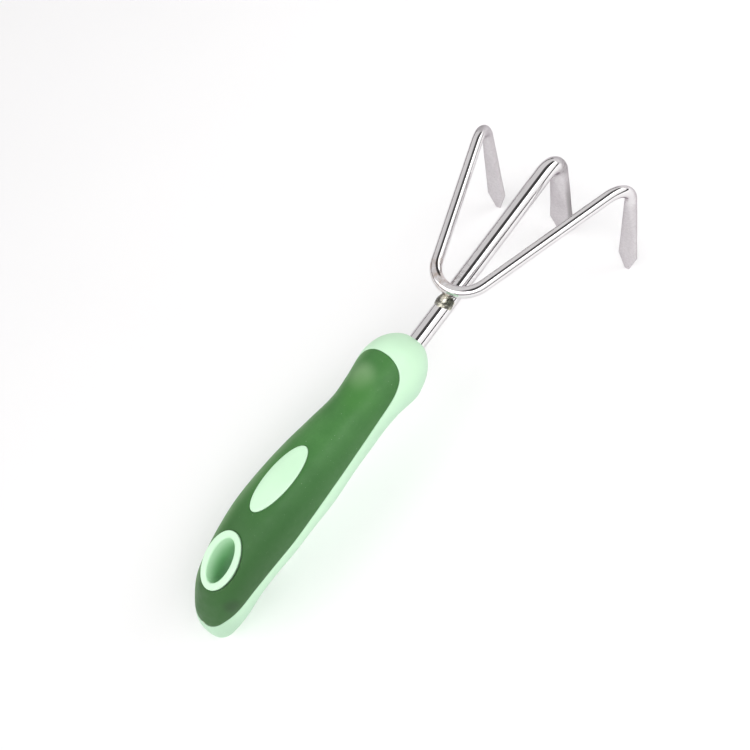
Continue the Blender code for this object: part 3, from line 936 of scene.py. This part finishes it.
class Nodes:
    """Small helper for building one node tree, over its own coordinates."""

    def __init__(self, tree):
        self.tree = tree
        self.coordinates = None

    def add(self, kind, **settings):
        node = self.tree.nodes.new(kind)
        for key, value in settings.items():
            setattr(node, key, value)
        return node

    def link(self, source, target):
        self.tree.links.new(source, target)

    def noise(self, per_mm, detail, roughness=0.5, stretch=None, seed=0.0):
        """Noise value, with per_mm cells to the millimetre."""
        mapping = self.add("ShaderNodeMapping")
        self.link(self.coordinates, mapping.inputs["Vector"])
        if stretch:
            mapping.inputs["Scale"].default_value = stretch
        mapping.inputs["Location"].default_value = (seed, seed * 0.7, seed * 1.3)
        texture = self.add("ShaderNodeTexNoise")
        self.link(mapping.outputs["Vector"], texture.inputs["Vector"])
        texture.inputs["Scale"].default_value = per_mm / MM
        texture.inputs["Detail"].default_value = detail
        texture.inputs["Roughness"].default_value = roughness
        return texture.outputs["Fac"]

    def ramp(self, value, stops):
        """Colour ramp through (position, colour) stops; grey for single numbers."""
        node = self.add("ShaderNodeValToRGB")
        self.link(value, node.inputs["Fac"])
        elements = node.color_ramp.elements
        while len(elements) < len(stops):
            elements.new(0.5)
        for element, (position, colour) in zip(elements, stops):
            element.position = position
            if isinstance(colour, float):
                colour = (colour, colour, colour)
            element.color = colour + (1.0,)
        return node.outputs["Color"]

    def specks(self, value, low, high):
        """1 where the value stands above high, 0 where it lies below low."""
        return self.ramp(value, [(0.0, 0.0), (low, 0.0), (high, 1.0)])

    def range(self, value, low, high, to_low, to_high):
        """Value mapped smoothly from one range to another."""
        node = self.add("ShaderNodeMapRange", interpolation_type="SMOOTHSTEP")
        self.link(value, node.inputs["Value"])
        sockets = ("From Min", "From Max", "To Min", "To Max")
        for socket, number in zip(sockets, (low, high, to_low, to_high)):
            node.inputs[socket].default_value = number
        return node.outputs["Result"]

    def range_mm(self, value, limits, to_low, to_high):
        """Length mapped smoothly from limits in millimetres."""
        return self.range(value, limits[0] * MM, limits[1] * MM, to_low, to_high)

    def spread(self, noise_value, low, high):
        """Noise value spread from low to high."""
        return self.range(noise_value, NOISE_LOW, NOISE_HIGH, low, high)

    def math(self, operation, first, second=0.0):
        node = self.add("ShaderNodeMath", operation=operation)
        for socket, value in zip(node.inputs, (first, second)):
            if isinstance(value, float):
                socket.default_value = value
            else:
                self.link(value, socket)
        return node.outputs["Value"]

    def times(self, first, second):
        return self.math("MULTIPLY", first, second)

    def mix(self, factor, first, second, blend="MIX"):
        """Colour mix of two colours or sockets."""
        node = self.add("ShaderNodeMix", data_type="RGBA", blend_type=blend)
        inputs = [socket for socket in node.inputs if socket.enabled]
        for socket, value in zip(inputs, (factor, first, second)):
            if isinstance(value, float):
                socket.default_value = value
            elif isinstance(value, tuple):
                socket.default_value = value + (1.0,)
            else:
                self.link(value, socket)
        return [socket for socket in node.outputs if socket.enabled][0]

    def bump(self, height, distance_mm, strength, under=None):
        node = self.add("ShaderNodeBump")
        self.link(height, node.inputs["Height"])
        node.inputs["Strength"].default_value = strength
        node.inputs["Distance"].default_value = distance_mm * MM
        if under is not None:
            self.link(under, node.inputs["Normal"])
        return node.outputs["Normal"]

    def axis(self, name):
        """One of the coordinates."""
        node = self.add("ShaderNodeSeparateXYZ")
        self.link(self.coordinates, node.inputs["Vector"])
        return node.outputs[name]


class MaterialNodes(Nodes):
    """Node tree of a material, over the tool's own axes in metres."""

    def __init__(self, name):
        self.material = bpy.data.materials.new(name)
        self.material.use_nodes = True
        super().__init__(self.material.node_tree)
        self.shader = self.tree.nodes["Principled BSDF"]
        to_tool = self.add("ShaderNodeMapping")
        self.link(self.add("ShaderNodeTexCoord").outputs["Object"], to_tool.inputs["Vector"])
        to_tool.inputs["Location"].default_value = TOOL.inverted().to_translation()
        to_tool.inputs["Rotation"].default_value = TOOL.inverted().to_euler()
        self.coordinates = to_tool.outputs["Vector"]

    def distance_to(self, place):
        """Distance in metres from a place given in millimetres."""
        node = self.add("ShaderNodeVectorMath", operation="DISTANCE")
        self.link(self.coordinates, node.inputs[0])
        node.inputs[1].default_value = Vector(place) * MM
        return node.outputs["Value"]

    def near(self, place, inner, outer, weight):
        """Weight within the inner radius of a place, that falls to 0 at the outer radius."""
        return self.range_mm(self.distance_to(place), (inner, outer), weight, 0.0)

    def with_fades(self, colour, fades):
        for axis, start, end, weight, tint in fades:
            share = self.range_mm(self.axis(axis), (start, end), 0.0, weight)
            colour = self.mix(share, colour, tint)
        return colour

    def with_patches(self, colour, patches):
        for place, inner, outer, weight, tint in patches:
            colour = self.mix(self.near(place, inner, outer, weight), colour, tint)
        return colour

    def finish(self, colour, roughness, normal):
        sockets = ("Base Color", "Roughness", "Normal")
        for socket, value in zip(sockets, (colour, roughness, normal)):
            self.link(value, self.shader.inputs[socket])
        return self.material


def hole_shade(n):
    """Weight of painted shade by how far a point lies down inside the hang hole: 0 at the rim and
    outside it.
    """
    from_centre = n.math("SUBTRACT", n.axis("X"), HOLE_CENTRE * MM)
    along = n.math("DIVIDE", from_centre, (HOLE_HALF_LENGTH + HOLE_REACH) * MM)
    across = n.math("DIVIDE", n.axis("Y"), (HOLE_HALF_WIDTH + HOLE_REACH) * MM)
    reach = n.math("ADD", n.times(along, along), n.times(across, across))
    within = n.math("LESS_THAN", reach, 1.0)
    slope = n.times(from_centre, math.tan(COLLAR_RIM_SLOPE))
    rim = n.math("ADD", slope, COLLAR_RIM_HEIGHT * MM)
    depth = n.math("SUBTRACT", rim, n.axis("Z"))
    down = n.range_mm(depth, HOLE_SHADE_DEPTH, 0.0, HOLE_SHADE_MOST)
    rear = n.range_mm(n.axis("X"), HOLE_SHADE_X, HOLE_SHADE_LEAST, 1.0)
    return n.times(within, n.times(down, rear))


def mint_plastic():
    """Semi-matte moulded plastic, with a faint cloudiness and a fine moulded grain, and painted
    shade in the hang hole, on the underside and at the tail.
    """
    n = MaterialNodes("mint_plastic")
    cloud = n.noise(0.06, 3.0)
    colour = n.ramp(cloud, [(NOISE_LOW, MINT_DEEP), (NOISE_HIGH, MINT_PALE)])
    speck = n.specks(n.noise(1.6, 1.0, seed=0.11), 0.77, 0.80)
    colour = n.mix(n.times(speck, 0.25), colour, MINT_SPECK)
    # Painted shade: darker green down inside the hang hole.
    colour = n.mix(hole_shade(n), colour, MINT_PAINTED_HOLE_SHADE)
    # Painted shade: darker towards the underside and the tail.
    colour = n.with_fades(colour, CORE_PAINTED_SHADE)
    roughness = n.spread(n.noise(0.5, 3.0, seed=0.05), 0.40, 0.50)
    normal = n.bump(n.noise(3.5, 2.0), 0.02, 0.35)
    normal = n.bump(n.noise(0.18, 2.0, seed=0.2), 0.12, 0.25, normal)
    n.shader.inputs["Specular IOR Level"].default_value = 0.35
    return n.finish(colour, roughness, normal)


def green_rubber():
    """Satin soft-touch elastomer with mottling, fine grain and dust, and painted light and shade:
    painted shade towards the tail, on the right and in the thumb dish, painted sheen on the left
    and a painted highlight near the front.
    """
    n = MaterialNodes("green_rubber")
    broad = n.noise(0.045, 4.0, 0.55)
    colour = n.ramp(broad, [(0.3, GREEN_DEEP), (0.55, GREEN_MIDDLE), (0.75, GREEN_PALE)])
    mottle = n.ramp(n.noise(0.9, 4.0, 0.6, seed=0.31), [(0.35, 0.0), (0.7, 1.0)])
    colour = n.mix(n.times(mottle, 0.22), colour, GREEN_MOTTLE)
    dirt = n.specks(n.noise(1.1, 1.0, seed=0.17), 0.775, 0.80)
    colour = n.mix(n.times(dirt, 0.55), colour, GREEN_DIRT)
    dust = n.specks(n.noise(1.5, 1.0, seed=0.43), 0.755, 0.775)
    colour = n.mix(n.times(dust, 0.6), colour, GREEN_DUST)
    # Painted shade towards the tail and on the right, painted sheen on the left.
    colour = n.with_fades(colour, GRIP_PAINTED_LIGHT_AND_SHADE)
    # Painted highlight near the front, painted shade in the thumb dish, a dirt smudge and the
    # gate mark.
    colour = n.with_patches(colour, GRIP_PATCHES)
    roughness = n.spread(n.noise(0.3, 4.0, seed=0.6), 0.44, 0.58)
    normal = n.bump(n.noise(4.0, 3.0, 0.6), 0.025, 0.5)
    normal = n.bump(n.noise(0.12, 3.0, seed=0.9), 0.25, 0.3, normal)
    n.shader.inputs["Specular IOR Level"].default_value = 0.38
    return n.finish(colour, roughness, normal)


def satin_share(n, satin_start):
    """0 on polished steel, 1 on the satin steel of the blades, with a ragged edge."""
    ragged = n.times(n.noise(0.35, 4.0, 0.7, seed=0.2), SATIN_RAGGED * MM)
    place = n.math("ADD", n.axis("X"), ragged)
    place = n.math("ADD", place, n.times(n.axis("Y"), SATIN_SKEW))
    ahead = n.range_mm(place, (satin_start, satin_start + SATIN_LENGTH), 0.0, 1.0)
    below = n.range_mm(n.axis("Z"), SATIN_LEVEL, 0.0, 1.0)
    return n.math("MAXIMUM", ahead, below)


def steel_colour(n, satin):
    """Colour of polished and satin steel, with painted shade along the middle blade's right edge,
    a darker patch below its bend, and specks.
    """
    polished = n.ramp(n.noise(0.09, 3.0), [(NOISE_LOW, STEEL_DEEP), (NOISE_HIGH, STEEL_PALE)])
    frost = n.noise(0.8, 5.0, 0.7, seed=0.5)
    frosted = n.ramp(frost, [(NOISE_LOW, SATIN_DEEP), (NOISE_HIGH, SATIN_PALE)])
    colour = n.mix(satin, polished, frosted)
    # Painted shade along the right edge of the middle blade's satin part.
    edge = n.range_mm(n.axis("Y"), SHADED_EDGE, 0.0, 1.0)
    inner = n.range_mm(n.math("ABSOLUTE", n.axis("Y")), SHADED_REACH, 1.0, 0.0)
    edge_shade = n.times(n.times(edge, inner), n.times(satin, 0.8))
    colour = n.mix(edge_shade, colour, SATIN_EDGE_SHADE)
    # Darker mottled patch at the front right below the middle bend.
    bend_patch = n.near(BEND_DARK_PATCH_PLACE, 2.5, 7.0, 0.75)
    mottled = n.ramp(n.noise(0.7, 4.0, 0.7, seed=0.37), [(0.35, 0.2), (0.6, 1.0)])
    colour = n.mix(n.times(bend_patch, mottled), colour, BEND_DARK_PATCH)
    speck = n.specks(n.noise(1.3, 2.0, seed=0.8), 0.71, 0.76)
    return n.mix(n.times(speck, n.times(satin, 0.75)), colour, SATIN_SPECK)


def prong_steel(name, satin_start):
    """Polished stainless steel that turns satin towards the pressed blade."""
    n = MaterialNodes(name)
    n.shader.inputs["Metallic"].default_value = 1.0
    n.shader.inputs["Specular Tint"].default_value = STEEL_EDGE + (1.0,)
    satin = satin_share(n, satin_start)
    polish = n.range(n.noise(1.2, 3.0, 0.7, (0.08, 1.0, 1.0), 0.3), 0.35, 0.75, 0.05, 0.11)
    matte = n.spread(n.noise(2.0, 4.0, 0.7, seed=0.6), 0.36, 0.50)
    polished_part = n.times(polish, n.math("SUBTRACT", 1.0, satin))
    roughness = n.math("ADD", n.times(matte, satin), polished_part)
    normal = n.bump(n.times(n.noise(3.0, 3.0, 0.6), satin), 0.014, 0.6)
    ripple = n.noise(0.25, 2.0, 0.5, (0.15, 1.0, 1.0), 0.7)
    normal = n.bump(ripple, 0.010, 0.3, normal)
    return n, steel_colour(n, satin), roughness, normal


def shank_steel():
    """Prong steel with fine scuffs across the shank."""
    n, colour, roughness, normal = prong_steel("shank_steel", SHANK_SATIN_START)
    fine = n.ramp(n.noise(2.4, 3.0, 0.6, (1.0, 0.12, 0.12), 0.7), [(0.48, 0.0), (0.62, 1.0)])
    away = n.math("ABSOLUTE", n.math("SUBTRACT", n.axis("X"), SCUFF_CENTRE * MM))
    scuffed = n.times(fine, n.range_mm(away, (3.0, 9.0), 0.45, 0.0))
    return n.finish(n.mix(scuffed, colour, STEEL_SCUFF), roughness, normal)


def rod_steel():
    """Prong steel with a brown heat tint where the U was welded."""
    n, colour, roughness, normal = prong_steel("rod_steel", ROD_SATIN_START)
    patches = n.ramp(n.noise(0.4, 4.0, 0.65, seed=0.4), [(0.4, 0.0), (0.65, 1.0)])
    tint = n.times(n.near(HEAT_CENTRE, 5.0, 13.0, 1.0), n.times(patches, 0.55))
    return n.finish(n.mix(tint, colour, HEAT_TINT), roughness, normal)


def weld_metal():
    """Greenish grey weld metal, with a yellowish painted highlight on one side and painted shade
    on the other and on its left flank.
    """
    n = MaterialNodes("weld_metal")
    n.shader.inputs["Metallic"].default_value = 1.0
    cloud = n.noise(0.38, 4.0, 0.6, seed=0.23)
    colour = n.ramp(cloud, [(0.38, WELD_HOLLOW), (0.5, WELD_MIDDLE), (0.62, WELD_PALE)])
    # Painted highlight, painted shade and a painted dark flank on the bead.
    colour = n.with_patches(colour, WELD_PAINTED_LIGHT_AND_SHADE)
    roughness = n.spread(n.noise(0.8, 4.0, 0.7, seed=0.3), 0.16, 0.38)
    normal = n.bump(n.noise(0.45, 3.0, 0.5, seed=0.5), 0.8, 0.8)
    return n.finish(colour, roughness, normal)


def pale_floor():
    """Matte studio floor, all but even in tone."""
    n = MaterialNodes("pale_floor")
    cloud = n.noise(0.004, 2.0)
    colour = n.ramp(cloud, [(NOISE_LOW, FLOOR_DEEP), (NOISE_HIGH, FLOOR_PALE)])
    roughness = n.spread(n.noise(0.02, 2.0), 0.7, 0.8)
    normal = n.bump(n.noise(0.5, 2.0), 0.02, 0.1)
    return n.finish(colour, roughness, normal)


# ---------------------------------------------------------------- object

def dress(piece, material, node):
    """Gives a piece its material and its place in the frame."""
    piece.data.materials.clear()
    piece.data.materials.append(material)
    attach(piece, "root")
    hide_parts(node)


net = HandleNet()
dress(make_handle_core(net), mint_plastic(), "handle_core")
dress(make_soft_grip(net), green_rubber(), "soft_grip")
dress(make_shank(), shank_steel(), "shank_tine")
dress(make_side_prongs(), rod_steel(), "side_tine_rod")
dress(make_weld(), weld_metal(), "weld_bead")


# ---------------------------------------------------------------- stage, light, camera

# Floor, in metres.
FLOOR_SIZE = 2.4
FLOOR_GAP = 0.0001

# Long softboxes on the right that face one point: name, place, size, power.
SOFTBOXES = [
    ("key_softbox", (1.2, -0.85, 0.75), (3.6, 1.16), 14.4),
    ("upper_softbox", (1.2, -0.60, 0.93), (3.6, 0.46), 7.0),
]
SOFTBOX_TARGET = Vector((1.2, 0.0, 0.03))

# Room light by direction: x runs ahead of the prongs, y to the left and z up.
HORIZON = [(0.0, 0.02), (0.10, 0.02), (0.16, 0.76), (1.0, 0.76)]
DARK_SIDE_LEAN = (math.radians(-17.0), math.radians(-8.0))
DARK_SIDE_SHARE = 0.09
REAR_X = (-0.42, -0.55)
REAR_Z = (0.38, 0.55)
REAR_LOW_SHARE = 0.25
REAR_GAIN = 3.6
AHEAD_X = (0.90, 0.96)
AHEAD_GREY = (0.9, 0.9, 0.9)
ROOM_TINT = (1.0, 0.985, 0.99)
BACKDROP = (0.985, 0.985, 0.985)

# Camera on the tool's own axes, at the photograph's angle.
CAMERA_SIDE = Vector((0.59611, -0.75611, -0.27009))
CAMERA_UP = Vector((0.78662, 0.48258, 0.38515))
CAMERA_BACK = Vector((-0.16087, -0.44205, 0.88245))
CAMERA_PLACE = Vector((-83.51, -157.17, 326.45)) * MM
CAMERA_LENS = 42.34
CAMERA_NEAR = 0.01


def make_floor():
    bpy.ops.mesh.primitive_plane_add(size=FLOOR_SIZE)
    floor = bpy.context.object
    floor.name = "floor"
    floor.location.z = cad_box[0][2] - FLOOR_GAP
    floor.data.materials.append(pale_floor())


def make_softbox(name, place, size, power):
    """Rectangular area light that faces the softboxes' target."""
    light = bpy.data.lights.new(name, "AREA")
    light.shape = "RECTANGLE"
    light.size, light.size_y = size
    light.energy = power
    lamp = bpy.data.objects.new(name, light)
    lamp.location = place
    lamp.rotation_euler = (SOFTBOX_TARGET - Vector(place)).to_track_quat("-Z", "Y").to_euler()
    bpy.context.scene.collection.objects.link(lamp)


def make_world():
    """Grey room, dark on the softboxes' side and bright high behind the handle."""
    world = bpy.data.worlds.new("studio")
    world.use_nodes = True
    n = Nodes(world.node_tree)
    n.coordinates = n.add("ShaderNodeTexCoord").outputs["Generated"]
    rise = n.ramp(n.axis("Z"), HORIZON)
    lean = n.math("ARCTAN2", n.times(n.axis("Y"), -1.0), n.axis("Z"))
    side = n.range(lean, *DARK_SIDE_LEAN, 1.0, DARK_SIDE_SHARE)
    ahead = n.range(n.axis("X"), *AHEAD_X, 0.0, 1.0)
    room = n.mix(ahead, n.times(rise, side), AHEAD_GREY)
    rear = n.range(n.axis("X"), *REAR_X, 0.0, 1.0)
    high = n.range(n.axis("Z"), *REAR_Z, REAR_LOW_SHARE, 1.0)
    room = n.mix(n.times(rear, high), room, n.times(rise, REAR_GAIN))
    room = n.mix(1.0, room, ROOM_TINT, "MULTIPLY")
    seen = n.add("ShaderNodeLightPath").outputs["Is Camera Ray"]
    background = n.tree.nodes["Background"]
    n.link(n.mix(seen, room, BACKDROP), background.inputs["Color"])
    bpy.context.scene.world = world


def make_camera():
    lens = bpy.data.cameras.new("camera")
    lens.lens = CAMERA_LENS
    lens.clip_start = CAMERA_NEAR
    camera = bpy.data.objects.new("camera", lens)
    turn = Matrix((CAMERA_SIDE, CAMERA_UP, CAMERA_BACK)).transposed().to_4x4()
    camera.matrix_world = TOOL @ Matrix.Translation(CAMERA_PLACE) @ turn
    bpy.context.scene.collection.objects.link(camera)
    bpy.context.scene.camera = camera


make_floor()
for softbox in SOFTBOXES:
    make_softbox(*softbox)
make_world()
make_camera()
bpy.context.scene.view_settings.view_transform = "Standard"
